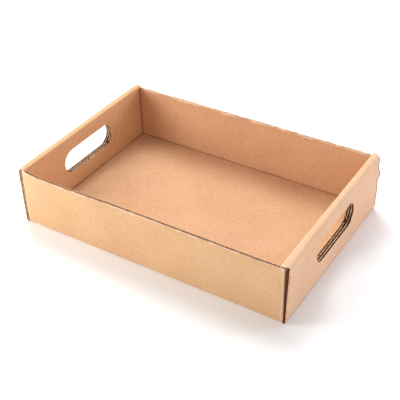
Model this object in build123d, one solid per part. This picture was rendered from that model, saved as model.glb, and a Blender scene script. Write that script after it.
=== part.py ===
from build123d import *
from math import atan, ceil, cos, floor, sin, tan
import os

# A corrugated cardboard tray with roll-over end walls and hand holes.
#
# The tray is one die-cut and folded blank of single-wall board, so it is one solid. The blank's
# flutes run along the tray's length. The side walls fold up from the floor, and each ends in two
# tuck flaps. An end wall folds up outside the tuck flaps, rolls over their tops and comes down
# inside them, and two tabs on its lower edge lock into slots in the floor. A hand hole passes
# through the three plies of each end wall.
#
# The frame is +X along the tray, +Y across it and +Z up. The origin is under the middle of the
# tray, on the surface that it stands on. Every size is in millimetres.

# Overall sizes, outside. The end walls stand one board and one ply gap higher than the sides.
tray_length = 335.0
tray_width = 224.0
side_height = 70.5

# The board: two flat liners with a fluted sheet, the medium, glued between them.
board = 2.7
liner = 0.35
medium = 0.3
flute_pitch = 6.5
flank_steepness = 1.3  # the slope of a flute's flanks over that of a plain zigzag

# The folds.
fold_radius = 0.5  # inside a fold
crushed_length = 1.0  # beside each fold, where the board is pressed flat and the flutes end
crushed_mouth = 1.2  # the slot that stays open where a side edge cuts a crushed flute
ply_gap = 0.15  # air between the plies of an end wall

# The hand holes.
hole_length = 91.0
hole_height = 30.5
hole_centre_height = 40.0

# The tuck flaps and the inner ply of the end walls.
flap_end_gap = 2.0  # between the free ends of the two flaps in one end wall
flap_chamfer = 3.0  # on the free corners of a flap
inner_side_gap = 0.4  # from the inner ply to each side wall
inner_floor_gap = 0.8  # from the inner ply down to the floor

# The tabs that lock the inner plies into the floor.
tab_length = 36.0
tab_spacing = 118.0  # between the middles of the two tabs
tab_chamfer = 1.0
tab_recess = 0.4  # from the ground up to the lower edge of a tab
slot_clearance = 0.3

# Where the folds put each ply.
outer_radius = fold_radius + board
end_height = side_height + ply_gap + board
half_length = tray_length / 2
half_width = tray_width / 2
end_fold_start = half_length - outer_radius
flap_face = half_length - board - ply_gap
corner_fold_start = flap_face - outer_radius
inner_ply_face = flap_face - board - ply_gap
inner_half_width = half_width - board - inner_side_gap
inner_bottom = board + inner_floor_gap
tab_places = (-tab_spacing / 2, tab_spacing / 2)

# The section of a flute, whose hollow is arched over one liner and shut by that liner.
flute_depth = board - 2 * liner
crest = flute_depth - medium
flank_angle = atan(flank_steepness * 2 * flute_depth / flute_pitch)
crest_radius = (
    flute_pitch / 4 * sin(flank_angle)
    - medium / 2
    - (flute_depth / 2 - medium) * cos(flank_angle)
) / (1 - cos(flank_angle))
flank_top = (
    crest_radius * sin(flank_angle),
    crest - crest_radius + crest_radius * cos(flank_angle),
)
flute_half_width = flank_top[0] + flank_top[1] / tan(flank_angle)


def box_between(low, high):
    """A box from its lowest corner to its highest."""
    size = [b - a for a, b in zip(low, high)]
    middle = [(a + b) / 2 for a, b in zip(low, high)]
    return Pos(*middle) * Box(*size)


def folded_sheet(plane, centre_line, thickness, start, end):
    """A sheet along a centre line in a plane, with a round fold at each corner of the line."""
    path = FilletPolyline(*centre_line, radius=fold_radius + board / 2)
    return extrude(plane.offset(start) * trace(path, line_width=thickness), amount=end - start)


def flute_hollow():
    """The section of one flute's hollow, standing on its liner."""
    left_foot, right_foot = (-flute_half_width, 0), (flute_half_width, 0)
    left_top = (-flank_top[0], flank_top[1])
    return make_face(
        [
            Line(left_foot, right_foot),
            Line(right_foot, flank_top),
            ThreePointArc(flank_top, (0, crest), left_top),
            Line(left_top, left_foot),
        ]
    )


def open_flutes(start, length, cut_spans):
    """The hollows of the flutes that the cut edges of one panel open.

    The start plane is square to the flutes, with its X across them and its Y into the board from
    one face. Each of the cut spans is the low and high end of a cut edge along that X, both the
    same for an edge that runs with the flutes. A flute that no edge opens is sealed between two
    folds, and is left filled.
    """
    half_pitch = flute_pitch / 2
    steps = set()
    for low, high in cut_spans:
        first = floor((low - flute_half_width) / half_pitch) + 1
        past_last = ceil((high + flute_half_width) / half_pitch)
        steps.update(range(first, past_last))
    on_near_liner = Pos(0, liner) * flute_hollow()
    on_far_liner = Pos(0, board - liner) * Rot(0, 0, 180) * flute_hollow()
    hollows = [
        Pos(step * half_pitch, 0) * (on_far_liner if step % 2 else on_near_liner)
        for step in sorted(steps)
    ]
    return extrude(start * Sketch(children=hollows), amount=length)


def floor_and_sides():
    """The floor with both side walls, which stop where the corner folds begin."""
    wall = half_width - board / 2
    line = [(-wall, side_height), (-wall, board / 2), (wall, board / 2), (wall, side_height)]
    walls = folded_sheet(Plane.YZ, line, board, -corner_fold_start, corner_fold_start)
    lower_folds = folded_sheet(Plane.YZ, line, board, -end_fold_start, end_fold_start)
    lower_folds &= box_between(
        (-end_fold_start, -half_width, 0), (end_fold_start, half_width, outer_radius)
    )
    return walls + lower_folds


def side_wall_flutes():
    """The flutes along the top edge of the +Y side wall, which lays them open lengthways."""
    reach = corner_fold_start - crushed_length
    start = Plane(origin=(-reach, half_width, 0), x_dir=(0, 0, 1), z_dir=(1, 0, 0))
    return open_flutes(start, 2 * reach, [(side_height, side_height)])


def floor_flutes():
    """The flutes of the floor that its slots cut, from one end wall to the other."""
    reach = end_fold_start - crushed_length
    half_slot = tab_length / 2 + slot_clearance
    start = Plane(origin=(-reach, 0, 0), x_dir=(0, 1, 0), z_dir=(1, 0, 0))
    return open_flutes(start, 2 * reach, [(y - half_slot, y + half_slot) for y in tab_places])


def tuck_flap():
    """The flap at the +X, +Y corner, which folds in from the side wall."""
    wall = half_width - board / 2
    ply = flap_face - board / 2
    line = [(corner_fold_start - board, wall), (ply, wall), (ply, flap_end_gap / 2)]
    flap = folded_sheet(Plane.XY, line, board, outer_radius, side_height)
    free_corners = flap.edges().filter_by(Axis.X).group_by(Axis.Y)[0]
    flap = chamfer(free_corners, flap_chamfer)
    length = half_width - outer_radius - crushed_length
    start = Plane(origin=(flap_face - board, 0, 0), x_dir=(0, 0, 1), z_dir=(0, 1, 0))
    return flap - open_flutes(start, length, [(outer_radius, side_height)])


def outer_ply_flutes():
    """The flutes of the +X end wall's outer ply that the hand hole or the side edges cut."""
    bottom = outer_radius + crushed_length
    top = end_height - outer_radius - crushed_length
    start = Plane(origin=(half_length, 0, bottom), x_dir=(0, 1, 0), z_dir=(0, 0, 1))
    hole = (-hole_length / 2, hole_length / 2)
    sides = [(-half_width, -half_width), (half_width, half_width)]
    return open_flutes(start, top - bottom, [hole, *sides])


def inner_ply_flutes():
    """The flutes of the +X end wall's inner ply, which its lower edge cuts."""
    top = end_height - outer_radius - crushed_length
    start = Plane(origin=(inner_ply_face, 0, 0), x_dir=(0, 1, 0), z_dir=(0, 0, 1))
    return open_flutes(start, top, [(-inner_half_width, inner_half_width)])


def crushed_mouths():
    """The slots in the +Y edge of the +X end wall, where its folds crush the flute at the edge."""
    start = half_width - flute_half_width
    outer = half_length - board / 2
    top = end_height - board / 2
    flute_low = outer_radius + crushed_length
    flute_high = end_height - outer_radius - crushed_length
    lower = [(inner_ply_face, board / 2), (outer, board / 2), (outer, flute_low)]
    upper = [(outer, flute_high), (outer, top), (inner_ply_face, top)]
    return [
        folded_sheet(Plane.XZ, line, crushed_mouth, -half_width, -start)
        for line in (lower, upper)
    ]


def lock_tab(y):
    """A tab on the lower edge of the +X end wall's inner ply, chamfered to lead into its slot."""
    half_tab = tab_length / 2
    right_side = Polyline(
        (0, inner_bottom),
        (half_tab, inner_bottom),
        (half_tab, tab_recess + tab_chamfer),
        (half_tab - tab_chamfer, tab_recess),
        (0, tab_recess),
    )
    outline = make_face([right_side, mirror(right_side, about=Plane.YZ)])
    return extrude(Plane.YZ.offset(inner_ply_face - board) * Pos(y, 0) * outline, amount=board)


def lock_slot(y):
    """The slot in the floor for a tab of the +X end wall."""
    half_slot = tab_length / 2 + slot_clearance
    return box_between(
        (inner_ply_face - board - slot_clearance, y - half_slot, 0),
        (inner_ply_face + slot_clearance, y + half_slot, board),
    )


def end_wall():
    """The end wall at +X: up outside the flaps, over their tops and down inside them."""
    outer = half_length - board / 2
    inner = inner_ply_face - board / 2
    top = end_height - board / 2
    line = [
        (inner, board / 2),
        (outer, board / 2),
        (outer, top),
        (inner, top),
        (inner, inner_bottom),
    ]
    wall = folded_sheet(Plane.XZ, line, board, -half_width, half_width)
    wall -= box_between((0, -half_width, 0), (end_fold_start, half_width, board))
    for side in (-1, 1):
        near, far = sorted((side * inner_half_width, side * half_width))
        wall -= box_between((0, near, 0), (flap_face, far, side_height + ply_gap))
    for y in tab_places:
        wall += lock_tab(y)
    for mouth in crushed_mouths():
        wall -= [mouth, mirror(mouth, about=Plane.XZ)]
    return wall - outer_ply_flutes() - inner_ply_flutes()


def hand_hole():
    """What is punched out of the three plies of the +X end wall."""
    outline = Pos(0, hole_centre_height) * SlotOverall(hole_length, hole_height)
    outside = half_length + board
    inside = inner_ply_face - 2 * board
    return extrude(Plane.YZ.offset(inside) * outline, amount=outside - inside)


def tray():
    """The whole folded blank."""
    top_flutes = side_wall_flutes()
    slots = Part(children=[lock_slot(y) for y in tab_places])
    body = floor_and_sides() - floor_flutes()
    body -= [top_flutes, mirror(top_flutes, about=Plane.XZ)]
    body -= [slots, mirror(slots, about=Plane.YZ)]
    flap = tuck_flap()
    end = end_wall() + flap + mirror(flap, about=Plane.XZ) - hand_hole()
    return body + end + mirror(end, about=Plane.YZ)


os.makedirs("parts", exist_ok=True)
export_step(tray(), "parts/tray.step")
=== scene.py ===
from math import cos, exp, hypot, pi, radians, sin

import bpy
from mathutils import Matrix, Vector, noise


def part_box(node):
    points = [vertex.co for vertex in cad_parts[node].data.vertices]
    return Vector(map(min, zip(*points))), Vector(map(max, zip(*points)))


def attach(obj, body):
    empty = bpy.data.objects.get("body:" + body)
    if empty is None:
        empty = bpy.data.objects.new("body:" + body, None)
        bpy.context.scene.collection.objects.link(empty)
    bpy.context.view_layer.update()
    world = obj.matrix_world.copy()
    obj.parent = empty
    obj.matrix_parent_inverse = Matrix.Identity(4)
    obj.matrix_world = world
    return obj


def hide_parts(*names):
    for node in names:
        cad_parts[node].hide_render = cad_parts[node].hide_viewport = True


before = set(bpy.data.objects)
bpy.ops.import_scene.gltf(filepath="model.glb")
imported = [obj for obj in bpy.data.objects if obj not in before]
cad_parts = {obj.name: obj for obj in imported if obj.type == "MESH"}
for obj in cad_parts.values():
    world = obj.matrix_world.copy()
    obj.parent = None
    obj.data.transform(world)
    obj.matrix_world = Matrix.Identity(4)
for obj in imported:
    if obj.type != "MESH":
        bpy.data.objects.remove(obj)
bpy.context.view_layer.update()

bpy.ops.object.select_all(action="DESELECT")


# Camera
# A long lens on a stand, in front of the tray and to its right. It looks down into the tray and
# is a little out of level.
camera_place = (0.4280, -0.6641, 0.5964)
camera_turn = 32.86
camera_dip = 36.09
camera_roll = -1.52
camera_data = bpy.data.cameras.new("camera")
camera_data.sensor_width = 36.0
camera_data.lens = 76.7
camera_data.clip_end = 20.0
camera = bpy.data.objects.new("camera", camera_data)
bpy.context.collection.objects.link(camera)
camera.matrix_world = (
    Matrix.Translation(camera_place)
    @ Matrix.Rotation(radians(camera_turn), 4, "Z")
    @ Matrix.Rotation(radians(90 - camera_dip), 4, "X")
    @ Matrix.Rotation(radians(camera_roll), 4, "Z")
)
bpy.context.scene.camera = camera


# Tray
# One blank of brown corrugated board, die-cut, creased and folded. The side walls end in tuck
# flaps, and each end wall rolls over them and locks into the floor with two tabs.
_, (half_length, half_width, end_height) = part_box("tray")
board = 0.0027
ply_gap = 0.00015
fold_outside = 0.0032
flute_pitch = 0.0065
hole_centre = 0.040
hole_radius = 0.01525
hole_half_length = 0.0455
hole_straight = hole_half_length - hole_radius
inner_side_gap = 0.0004
close = 0.00003  # places nearer than this count as the same

side_height = end_height - board - ply_gap
flap_face = half_length - board - ply_gap
inner_ply_face = flap_face - board - ply_gap
inner_ply_inside = inner_ply_face - board
corner_fold_start = flap_face - fold_outside
inner_half_width = half_width - board - inner_side_gap
rim_width = half_length - inner_ply_inside

cad_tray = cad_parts["tray"]
tray = cad_tray.copy()
tray.data = cad_tray.data.copy()
tray.name = tray.data.name = "folded_tray"
tray.parent = None
tray.matrix_world = Matrix.Identity(4)
bpy.context.collection.objects.link(tray)
tray.select_set(True)
bpy.context.view_layer.objects.active = tray
tray.data.materials.clear()

# The flat panels become single faces, and are then cut into a grid that lets them bend.
bpy.ops.object.mode_set(mode="EDIT")
bpy.ops.mesh.select_all(action="SELECT")
bpy.ops.mesh.customdata_custom_splitnormals_clear()
bpy.ops.mesh.remove_doubles(threshold=0.000002)
bpy.ops.mesh.dissolve_limited(angle_limit=radians(0.2))
for axis, low, high, count in (
    (0, -half_length, half_length, 24),
    (1, -half_width, half_width, 16),
    (2, 0, end_height, 6),
):
    across = [float(axis == a) for a in range(3)]
    for step in range(1, count):
        place = [(low + (high - low) * step / count) * side for side in across]
        bpy.ops.mesh.select_all(action="SELECT")
        bpy.ops.mesh.bisect(plane_co=place, plane_no=across)


def divide_some(chosen, axis, places):
    """Cut the faces whose centres are chosen at places along an axis, and leave all the others."""
    bpy.ops.mesh.select_all(action="DESELECT")
    bpy.ops.object.mode_set(mode="OBJECT")
    for face in tray.data.polygons:
        face.select = chosen(face.center)
    bpy.ops.object.mode_set(mode="EDIT")
    bpy.ops.mesh.hide(unselected=True)
    across = [float(axis == a) for a in range(3)]
    for place in places:
        bpy.ops.mesh.select_all(action="SELECT")
        bpy.ops.mesh.bisect(plane_co=[place * side for side in across], plane_no=across)
    bpy.ops.mesh.reveal(select=False)


# The back wall's top edge and the upright edge at its right end are the most worn.
ragged_depth = 0.006
ragged_strip = 0.0028
ragged_strips_each_way = 56
worn_width = 0.014
worn_strip = 0.002
worn_strips = 6
worn_step = 0.0024
worn_steps = 30


def back_wall_top(centre):
    return centre.y > half_width - board - close and centre.z > side_height - 2 * ragged_depth


def worn_upright(centre):
    on_outer_ply = centre.x > flap_face or centre.x > inner_ply_inside and centre.z > side_height
    return on_outer_ply and centre.y > half_width - worn_width


along_top = range(-ragged_strips_each_way, ragged_strips_each_way + 1)
from_edge = range(1, worn_strips + 1)
up_edge = range(1, worn_steps + 1)
divide_some(back_wall_top, 2, (side_height - ragged_depth, side_height - ragged_depth / 2))
divide_some(back_wall_top, 0, [ragged_strip * strip for strip in along_top])
divide_some(worn_upright, 1, [half_width - worn_strip * strip for strip in from_edge])
divide_some(worn_upright, 2, [worn_step * step for step in up_edge])


def near(value, *targets):
    return any(abs(value - target) < close for target in targets)


def on_hand_hole(centre):
    """Whether a place in an end wall is on the cut edge of its hand hole."""
    past_straight = max(abs(centre.y) - hole_straight, 0)
    in_end_wall = abs(centre.x) > inner_ply_inside - close
    return in_end_wall and near(hypot(past_straight, centre.z - hole_centre), hole_radius)


# Round the hand holes the two liners of each ply show as pale lines beside the flutes, whose dark
# is painted shade.
pale_line = 0.0006
ply_insides = (inner_ply_inside, flap_face - board, half_length - board)
for ply_side in ply_insides:
    for line in (ply_side + pale_line, ply_side + board - pale_line):
        divide_some(on_hand_hole, 0, (line, -line))
bpy.ops.object.mode_set(mode="OBJECT")


# How squarely a face looks along an axis: 1 is fully, and 0 is not at all.
fully = 0.999
mostly = 0.9
slightly = 0.1
hardly = 0.02
facet_sag = 0.0002


def surface_of(centre, normal):
    """Which surface of the board a face is: an outside or inside liner, a cut edge or a flute."""
    x, y, z = abs(centre.x), abs(centre.y), centre.z
    across_x, across_y, across_z = (abs(part) for part in normal)
    in_end = x > corner_fold_start
    if across_x > fully:
        if near(x, inner_ply_inside, flap_face, half_length):
            return "outside"
        if near(x, inner_ply_face, flap_face - board, flap_face + ply_gap):
            return "inside"
    if across_y > fully:
        if near(y, half_width):
            return "cut" if x > flap_face or z > side_height + close else "outside"
        if near(y, half_width - board):
            return "inside"
    if across_z > fully:
        if near(z, 0, end_height):
            return "outside"
        if near(z, board, end_height - board):
            return "inside"
    low_fold = z < fold_outside and max(y - half_width, x - half_length) > -fold_outside
    top_fold = z > end_height - fold_outside and x > inner_ply_inside - close
    corner_fold = y > half_width - fold_outside and corner_fold_start < x < flap_face
    if low_fold or top_fold or corner_fold:
        if across_y < hardly and (low_fold or top_fold) and x > inner_ply_inside - close:
            axis_x = half_length - fold_outside
            if top_fold and x < (half_length + inner_ply_inside) / 2:
                axis_x = inner_ply_inside + fold_outside
            axis_z = fold_outside if low_fold else end_height - fold_outside
            from_axis = hypot(x - axis_x, z - axis_z)
            if from_axis > fold_outside - facet_sag:
                return "outside"
            if from_axis < fold_outside - board + facet_sag:
                return "inside"
            return "flute"
        if near(z, side_height) or near(y, half_width) and across_y > fully:
            return "cut"
        if low_fold and across_x < hardly:
            from_axis = hypot(y - half_width + fold_outside, z - fold_outside)
            return "outside" if from_axis > fold_outside - board / 2 else "inside"
        if corner_fold and across_z < hardly:
            from_axis = hypot(y - half_width + fold_outside, x - flap_face + fold_outside)
            return "outside" if from_axis > fold_outside - board / 2 else "inside"
        return "cut"
    if on_hand_hole(centre) and across_x < slightly:
        into_ply = x - max(ply_side for ply_side in ply_insides if ply_side < x + close)
        return "cut" if min(into_ply, board - into_ply) < pale_line else "flute"
    if near(z, side_height) and across_z > mostly:
        return "cut"
    if near(y, half_width, inner_half_width) and across_y > mostly:
        return "cut"
    in_flap = flap_face - board - close < x < flap_face + close
    along_flutes = across_y if in_flap else across_z if in_end else across_x
    return "cut" if along_flutes > mostly else "flute"


def place_on_blank(centre, corner):
    """Where a corner of a face lies on the flat blank: along the flutes, and across them."""
    x, y, z = corner
    end_side, wall_side = (1 if centre.x > 0 else -1), (1 if centre.y > 0 else -1)
    reach_x, reach_y = abs(centre.x), abs(centre.y)
    if reach_x > flap_face + close and centre.z < end_height - board:
        return end_side * (half_length + z), y
    if reach_x > inner_ply_inside - close and centre.z > end_height - board - close:
        return end_side * (half_length + end_height) + half_length * end_side - x, y
    if flap_face - board - close < reach_x and centre.z > fold_outside - close:
        along = end_side * (half_length + half_width) - end_side * wall_side * y
        return along, wall_side * (half_width + z)
    in_inner_ply = reach_x > inner_ply_inside - close and reach_y < inner_half_width + close
    if in_inner_ply and centre.z > board:
        return end_side * (half_length + 2 * end_height + rim_width - z), y
    if reach_y > half_width - board - close:
        return x, wall_side * (half_width + z)
    return x, y


# Each surface of the board is its own kind of paper, so the faces are sorted before they move.
surfaces = ("outside", "inside", "cut", "flute")
for surface in surfaces:
    tray.data.materials.append(bpy.data.materials.new("kraft_" + surface))
blank_map = tray.data.uv_layers.new(name="blank")
for face in tray.data.polygons:
    face.material_index = surfaces.index(surface_of(face.center, face.normal))
    for corner in face.loop_indices:
        place = tray.data.vertices[tray.data.loops[corner].vertex_index].co
        blank_map.data[corner].uv = place_on_blank(face.center, place)

# A cut along the flutes leaves the two liners standing, with a groove between them, given the dark
# flute paper as painted shade.
liner = 0.00085
groove_depth = 0.0010


def cut_along_flutes(face):
    """Whether a face is on the front wall's top edge, or on a side edge of an end wall's ply."""
    x, y, z = (abs(part) for part in face.center)
    top_edge = near(z, side_height) and face.normal.z > mostly and face.center.y < 0
    ply_end = near(y, half_width, inner_half_width) and abs(face.normal.y) > mostly
    in_end_wall = x > inner_ply_inside
    return surfaces[face.material_index] == "cut" and (top_edge or ply_end and in_end_wall)


bpy.ops.object.mode_set(mode="EDIT")
bpy.ops.mesh.select_all(action="DESELECT")
bpy.ops.object.mode_set(mode="OBJECT")
for face in tray.data.polygons:
    face.select = cut_along_flutes(face)
bpy.ops.object.mode_set(mode="EDIT")
bpy.ops.mesh.inset(thickness=liner, depth=-groove_depth, use_even_offset=False)
tray.active_material_index = surfaces.index("flute")
bpy.ops.object.material_slot_assign()
bpy.ops.object.mode_set(mode="OBJECT")

# At the front right corner the ply's edge behind its outer liner is given the dark flute paper as
# painted shade of the gap there. Along the back wall's top the torn paper hides the flute.
for face in tray.data.polygons:
    behind_outer_liner = flap_face < face.center.x < half_length - 0.7 * liner
    in_ply_end = face.center.y < groove_depth + close - half_width
    if behind_outer_liner and in_ply_end and surfaces[face.material_index] == "cut":
        face.material_index = surfaces.index("flute")
    if back_wall_top(face.center) and face.center.z > side_height - groove_depth - liner:
        if surfaces[face.material_index] == "flute" and abs(face.center.x) < corner_fold_start:
            face.material_index = surfaces.index("cut")

# The board has been handled. Its walls bow, its raw edges are ragged, the right end has opened
# a little at the front, and the upright edge at the right back corner is torn.
wall_bow = 0.0006
front_bow = 0.0021
front_bow_ends = (-0.09, -0.03)
stiff_corner = 0.02
edge_ripple = 0.0003
rippled_depth = 0.02
ragged_edge = 0.0006
end_flare = 0.0020
flared_width = 0.075
rim_lift = 0.0012
rim_lift_starts = -0.06
rim_sag = 0.0006
rim_sag_eases = (-0.08, 0.08)
torn_tongue = 0.0030
torn_tongue_height = 0.047
torn_behind = 0.4
torn_outwards = 0.3
torn_notch = 0.0012
torn_notch_height = 0.0585
torn_foot = (0.022, 0.040)
worn_side = 0.012
worn_corner = 0.0016
worn_corner_width = 0.008
worn_corner_depth = 0.006
inner_liner_set_back = 0.0010
less_worn = 0.4
pressed_power = 5


def eased(value, low, high):
    """How far a value is on its way from low to high, starting and stopping gently."""
    part = min(max((value - low) / (high - low), 0), 1)
    return part * part * (3 - 2 * part)


def ripple(place, length, row):
    """An uneven wave from about -1 to 1, with its own shape for each row."""
    return noise.noise(Vector((place / length, 7.3 * row, 0.37)))


def bump_at(value, middle, width):
    """1 at the middle, falling away to 0 on both sides of it."""
    return exp(-(((value - middle) / width) ** 2))


def handled(place):
    """Where a point of the folded board has moved to in use."""
    x, y, z = place
    wall_side, end_side = (1 if y > 0 else -1), (1 if x > 0 else -1)
    reach_x, reach_y = abs(x), abs(y)
    shift = Vector((0, 0, 0))
    rise = eased(z, 0, side_height)
    if reach_y > half_width - 2 * board and reach_x < flap_face + close:
        from_corner = eased(corner_fold_start - reach_x, 0, stiff_corner)
        bow = wall_bow
        if wall_side < 0:
            bow += (front_bow - wall_bow) * (1 - eased(x, *front_bow_ends))
        shift.y += wall_side * bow * rise * from_corner
        near_edge = eased(z, side_height - rippled_depth, side_height)
        shift.z += edge_ripple * near_edge * from_corner * ripple(x, length=0.045, row=wall_side)
        if wall_side > 0:
            ragged = eased(z, side_height - ragged_depth, side_height) * from_corner
            tears = ripple(x, length=0.011, row=3) + 0.6 * ripple(x, length=0.004, row=4)
            shift.z += ragged_edge * ragged * tears
            shift.y += ragged_edge * ragged * ripple(x, length=0.008, row=5)
    if reach_x > inner_ply_inside - close:
        through = (reach_x - inner_ply_inside) / rim_width
        shift.z += edge_ripple * rise * ripple(y, length=0.06, row=end_side)
        if end_side > 0 and (reach_x > flap_face or z > end_height - board - close):
            open_end = eased(-y, half_width - flared_width, half_width)
            shift.x += end_flare * open_end * rise * through
            shift.z += rim_lift * rise * eased(y, rim_lift_starts, half_width)
        if end_side < 0:
            sag = rise**4 * (1 - through) ** 2 * (1 - 0.6 * eased(y, *rim_sag_eases))
            shift.z -= rim_sag * sag
        if flap_face < x < half_length - 0.8 * liner and y < close - half_width:
            shift.y += inner_liner_set_back
        past_bend = inner_ply_inside + fold_outside - reach_x
        above_bend = z - end_height + fold_outside
        if past_bend > 0 and above_bend > 0:
            # The inner edge of the rim was pressed to a tighter bend than the outer one.
            bend = hypot(past_bend, above_bend)
            squareness = (past_bend / bend) ** pressed_power + (above_bend / bend) ** pressed_power
            pressed = squareness ** (-1 / pressed_power) - 1
            shift += Vector((-end_side * past_bend * pressed, 0, above_bend * pressed))
        if reach_x > flap_face and reach_y > half_width - worn_side:
            at_edge = eased(reach_y, half_width - worn_side, half_width)
            waves = ripple(z, length=0.012, row=6 + wall_side + end_side)
            shift.y += wall_side * edge_ripple * at_edge * waves
            if end_side > 0 and wall_side > 0:
                # The outer liner is torn further than the paper behind it.
                skin = torn_behind + (1 - torn_behind) * (reach_x - flap_face) / board
                tongue = torn_tongue * bump_at(z, torn_tongue_height, width=0.005)
                torn = tongue - torn_notch * bump_at(z, torn_notch_height, width=0.004)
                torn += 0.4 * torn_tongue * (1 - eased(z, *torn_foot))
                torn += edge_ripple * ripple(z, length=0.003, row=9)
                shift.y += at_edge * skin * torn
                shift.x += at_edge * skin * torn_outwards * tongue
        if reach_y > half_width - worn_side:
            corner_wear = worn_corner * (1.0 if end_side * wall_side > 0 else less_worn)
            rounded = eased(reach_y, half_width - worn_corner_width, half_width)
            rounded *= eased(z, end_height - worn_corner_depth, end_height)
            shift.y -= wall_side * corner_wear * rounded * through
            shift.z -= corner_wear * rounded * through**2
    return place + shift


for point in tray.data.vertices:
    point.co = handled(point.co)
bpy.ops.object.shade_smooth_by_angle(angle=radians(30))
bpy.ops.object.modifier_add(type="WEIGHTED_NORMAL")
tray.modifiers[-1].keep_sharp = True
bpy.ops.object.modifier_apply(modifier=tray.modifiers[-1].name)


def add_node(kraft, kind, inputs, **settings):
    """Add a shader node, and feed its numbered inputs from values or from other nodes."""
    made = kraft.node_tree.nodes.new("ShaderNode" + kind)
    for name, value in settings.items():
        setattr(made, name, value)
    for place, value in inputs.items():
        if isinstance(value, bpy.types.NodeSocket):
            kraft.node_tree.links.new(value, made.inputs[place])
        else:
            made.inputs[place].default_value = value
    return made


def work_out(kraft, operation, *numbers):
    """The result of a sum on numbers and sockets; MULTIPLY_ADD is a times b plus c."""
    return add_node(kraft, "Math", dict(enumerate(numbers)), operation=operation).outputs[0]


def speckle(kraft, where, scale, detail=2.0):
    """Noise from 0 to 1 that averages a half, with the scale in patches a metre."""
    inputs = {"Vector": where, "Scale": scale, "Detail": detail}
    return add_node(kraft, "TexNoise", inputs).outputs[0]


def band(kraft, value, full, none):
    """1 where a value has reached full, easing to 0 where it has reached none."""
    limits = {"Value": value, "From Min": full, "From Max": none, "To Min": 1.0, "To Max": 0.0}
    return add_node(kraft, "MapRange", limits, interpolation_type="SMOOTHSTEP").outputs[0]


def tinted(kraft, colour, tint, share):
    """A colour turned towards a tint where the share is high."""
    return add_node(kraft, "Mix", {0: share, 6: colour, 7: tint}, data_type="RGBA").outputs[2]


def finish_kraft(kraft, colour, height, roughness, gloss, bump_height):
    """Give a paper its colour, its relief and its dull surface."""
    shader = kraft.node_tree.nodes["Principled BSDF"]
    bump = add_node(kraft, "Bump", {"Height": height, "Distance": bump_height, "Strength": 1.0})
    kraft.node_tree.links.new(colour, shader.inputs["Base Color"])
    kraft.node_tree.links.new(bump.outputs[0], shader.inputs["Normal"])
    shader.inputs["Roughness"].default_value = roughness
    shader.inputs["Specular IOR Level"].default_value = gloss


# The liners: cloudy brown paper with pulp flecks and fibres, faint lines where it is glued to the
# flutes, and creases that are pale on the outside of a fold, with painted shade along the folds on
# the inside.
liner_papers = {
    "outside": {
        "pale": (0.755, 0.480, 0.268, 1),
        "deep": (0.585, 0.333, 0.162, 1),
        "crease_and_painted_light": (0.86, 0.67, 0.48, 1),
        "crease_and_painted_light_share": 0.7,
        "folds": (("across", half_width), ("along", half_length)),
    },
    # On the inside the fold lines are painted shade.
    "inside": {
        "pale": (0.735, 0.455, 0.275, 1),
        "deep": (0.575, 0.305, 0.157, 1),
        "crease_and_painted_light": (0.34, 0.13, 0.055, 1),
        "crease_and_painted_light_share": 0.8,
        "folds": (
            ("across", half_width - board),
            ("across", half_width + board),
            ("along", inner_ply_inside),
        ),
    },
}
fleck_brown = (0.28, 0.14, 0.07, 1)
fibre_pale = (0.80, 0.59, 0.40, 1)
pulp_rosy = (0.69, 0.400, 0.265, 1)
frayed_pale = (0.86, 0.68, 0.52, 1)
right_end_painted_pale = (0.755, 0.535, 0.365, 1)
cloud_share = 0.9
mottle_share = 0.9
fibre_share = 0.6
flute_line_share = 0.025
darkest_tone = -0.70
rosy_share = 0.45
rim_painted_highlight_share = 0.45
fleck_share = 0.35
fibre_fleck_share = 0.4
crease_wander = 0.0016
frayed_share = 0.75
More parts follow.
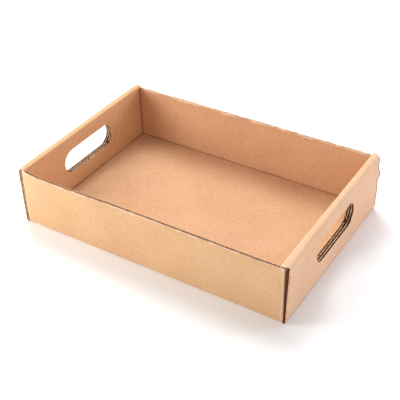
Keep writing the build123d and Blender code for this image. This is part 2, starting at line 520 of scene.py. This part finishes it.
for surface, paper in liner_papers.items():
    kraft = tray.data.materials["kraft_" + surface]
    kraft.use_nodes = True
    blank = add_node(kraft, "UVMap", {}, uv_map="blank").outputs[0]
    along, across, _ = add_node(kraft, "SeparateXYZ", {0: blank}).outputs
    stretched = add_node(kraft, "Mapping", {"Vector": blank, "Scale": (0.35, 1.0, 1.0)}).outputs[0]

    # The paper's own tone: wide clouds, fine mottle, fibres, and the lines of the flutes.
    clouds = speckle(kraft, blank, scale=16.0)
    mottle = speckle(kraft, blank, scale=210.0, detail=4.0)
    fibres = speckle(kraft, stretched, scale=1500.0, detail=3.0)
    wave = work_out(kraft, "SINE", work_out(kraft, "MULTIPLY", across, 2 * pi / flute_pitch))
    tone = work_out(kraft, "MULTIPLY_ADD", clouds, cloud_share, darkest_tone)
    tone = work_out(kraft, "MULTIPLY_ADD", mottle, mottle_share, tone)
    tone = work_out(kraft, "MULTIPLY_ADD", fibres, fibre_share, tone)
    tone = work_out(kraft, "MULTIPLY_ADD", wave, flute_line_share, tone)
    colour = tinted(kraft, paper["deep"], paper["pale"], tone)
    rosy = speckle(kraft, blank, scale=55.0, detail=3.0)
    rosy = work_out(kraft, "MULTIPLY_ADD", rosy, 1.2, -0.45)
    colour = tinted(kraft, colour, pulp_rosy, work_out(kraft, "MULTIPLY", rosy, rosy_share))

    # The outside of the right end is painted paler, in patches, for light that falls on it, and
    # the inner bend of its rim gets a painted highlight line.
    if surface == "outside":
        right_end_painted_light = band(kraft, along, half_length + 0.004, half_length)
        patches = work_out(kraft, "MULTIPLY_ADD", clouds, 0.6, 0.3)
        colour = tinted(kraft, colour, right_end_painted_pale, work_out(kraft, "MULTIPLY", right_end_painted_light, patches))
        # A thin painted highlight along the inner bend of the right rim.
        from_crest = work_out(kraft, "SUBTRACT", along, half_length + end_height + rim_width)
        rim_painted_highlight = band(kraft, work_out(kraft, "ABSOLUTE", from_crest), 0.0005, 0.0018)
        rim_painted_highlight = work_out(kraft, "MULTIPLY", rim_painted_highlight, rim_painted_highlight_share)
        colour = tinted(kraft, colour, paper["crease_and_painted_light"], rim_painted_highlight)

    # Flecks of brown bark and of pale fibre lie along the flutes.
    flecks = band(kraft, speckle(kraft, stretched, scale=650.0, detail=1.0), 0.27, 0.33)
    colour = tinted(kraft, colour, fleck_brown, work_out(kraft, "MULTIPLY", flecks, fleck_share))
    pale_flecks = band(kraft, speckle(kraft, stretched, scale=480.0, detail=1.0), 0.26, 0.31)
    pale_flecks = work_out(kraft, "MULTIPLY", pale_flecks, fibre_fleck_share)
    colour = tinted(kraft, colour, fibre_pale, pale_flecks)

    # Each fold has a line that wanders a little: pale on the outside, painted shade on the inside.
    wander = work_out(kraft, "MULTIPLY", mottle, crease_wander)
    crease_and_painted_light_mask = 0.0
    for direction, fold in paper["folds"]:
        place = work_out(kraft, "ABSOLUTE", along if direction == "along" else across)
        from_fold = work_out(kraft, "ABSOLUTE", work_out(kraft, "SUBTRACT", place, fold))
        line = band(kraft, work_out(kraft, "ADD", from_fold, wander), 0.0008, 0.0026)
        crease_and_painted_light_mask = work_out(kraft, "MAXIMUM", crease_and_painted_light_mask, line)
    crease_and_painted_light_mask = work_out(kraft, "MULTIPLY", crease_and_painted_light_mask, paper["crease_and_painted_light_share"])
    colour = tinted(kraft, colour, paper["crease_and_painted_light"], crease_and_painted_light_mask)

    # The raw top edges of the side walls are frayed pale, in patches.
    up_the_wall = work_out(kraft, "ABSOLUTE", across)
    to_edge = work_out(kraft, "SUBTRACT", half_width + side_height, up_the_wall)
    torn_patches = speckle(kraft, blank, scale=45.0, detail=3.0)
    torn_patches = work_out(kraft, "MULTIPLY_ADD", torn_patches, -0.010, 0.0048)
    frayed = band(kraft, work_out(kraft, "ADD", to_edge, torn_patches), 0.0004, 0.0016)
    frayed = work_out(kraft, "MULTIPLY", frayed, frayed_share)
    colour = tinted(kraft, colour, frayed_pale, frayed)

    height = work_out(kraft, "MULTIPLY_ADD", fibres, 0.5, mottle)
    height = work_out(kraft, "MULTIPLY_ADD", wave, 0.15, height)
    finish_kraft(kraft, colour, height, roughness=0.88, gloss=0.25, bump_height=0.00012)

# The cut edges: torn liner fibres, pale on the whole, with browner stretches where the knife slid.
knife_brown = (0.50, 0.26, 0.14, 1)
torn_pale = (0.92, 0.70, 0.50, 1)
kraft = tray.data.materials["kraft_cut"]
kraft.use_nodes = True
solid_place = add_node(kraft, "TexCoord", {}).outputs["Object"]
torn = speckle(kraft, solid_place, scale=190.0, detail=4.0)
fuzz = speckle(kraft, solid_place, scale=1300.0, detail=3.0)
share = work_out(kraft, "MULTIPLY_ADD", fuzz, 0.9, -1.05)
share = work_out(kraft, "MULTIPLY_ADD", torn, 2.2, share)
colour = tinted(kraft, knife_brown, torn_pale, share)
finish_kraft(kraft, colour, torn, roughness=0.95, gloss=0.1, bump_height=0.00015)

# The fluted paper between the liners: brown pulp, painted much darker as the shade down in its
# hollows and gaps.
flute_shade_dark = (0.072, 0.018, 0.008, 1)
flute_shade_brown = (0.19, 0.060, 0.027, 1)
kraft = tray.data.materials["kraft_flute"]
kraft.use_nodes = True
solid_place = add_node(kraft, "TexCoord", {}).outputs["Object"]
pulp = speckle(kraft, solid_place, scale=420.0, detail=4.0)
colour = tinted(kraft, flute_shade_dark, flute_shade_brown, pulp)
finish_kraft(kraft, colour, pulp, roughness=0.95, gloss=0.03, bump_height=0.0002)

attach(tray, "root")
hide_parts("tray")


# Floor
# A plain sheet of pale matt paper with the tray standing on it. It reaches well past the lights
# on every side.
bpy.ops.mesh.primitive_plane_add(size=16.0)
ground = bpy.context.object
ground.name = "ground"
paper_white = bpy.data.materials.new("paper_white")
paper_white.use_nodes = True
shader = paper_white.node_tree.nodes["Principled BSDF"]
shader.inputs["Base Color"].default_value = (0.93, 0.945, 0.965, 1)
shader.inputs["Roughness"].default_value = 0.8
ground.data.materials.append(paper_white)


# Lights
# Eight round soft lights face the tray. Two small ones stand close to the front wall, and six
# wide ones stand further off, the brightest of them behind the tray.
def soft_light(name, turned, raised, watts, colour, distance=2.2, width=1.3):
    """A round light, with its place in degrees round from the front and up from the floor."""
    data = bpy.data.lights.new(name, "AREA")
    data.shape = "DISK"
    data.size = width
    data.energy = watts
    data.color = colour
    light = bpy.data.objects.new(name, data)
    around, above = radians(turned), radians(raised)
    outwards = distance * cos(above)
    light.location = (outwards * sin(around), -outwards * cos(around), distance * sin(above))
    light.rotation_euler = (-light.location).to_track_quat("-Z", "Y").to_euler()
    bpy.context.collection.objects.link(light)


soft_light("front_left_light", 308, 30, 5.0, (1.0, 0.98, 0.93), distance=0.95, width=0.6)
soft_light("front_light", 322, 10, 4.1, (0.97, 0.97, 1.0), distance=1.05, width=0.6)
soft_light("front_right_light", 30, 50, 2.5, (1.0, 0.90, 0.84))
soft_light("right_light", 65, 22, 5, (1.0, 0.90, 0.86))
soft_light("right_back_light", 135, 12, 27, (1.0, 0.9, 1.0))
soft_light("high_back_light", 180, 60, 14, (0.95, 0.97, 1.0))
soft_light("high_left_light", 225, 60, 25, (0.98, 1.0, 0.94))
soft_light("left_back_light", 225, 35, 17, (0.84, 0.80, 0.88))
world = bpy.data.worlds.new("room")
world.use_nodes = True
world.node_tree.nodes["Background"].inputs["Color"].default_value = (1, 1, 1, 1)
world.node_tree.nodes["Background"].inputs["Strength"].default_value = 0.22
bpy.context.scene.world = world
bpy.context.scene.view_settings.view_transform = "Standard"
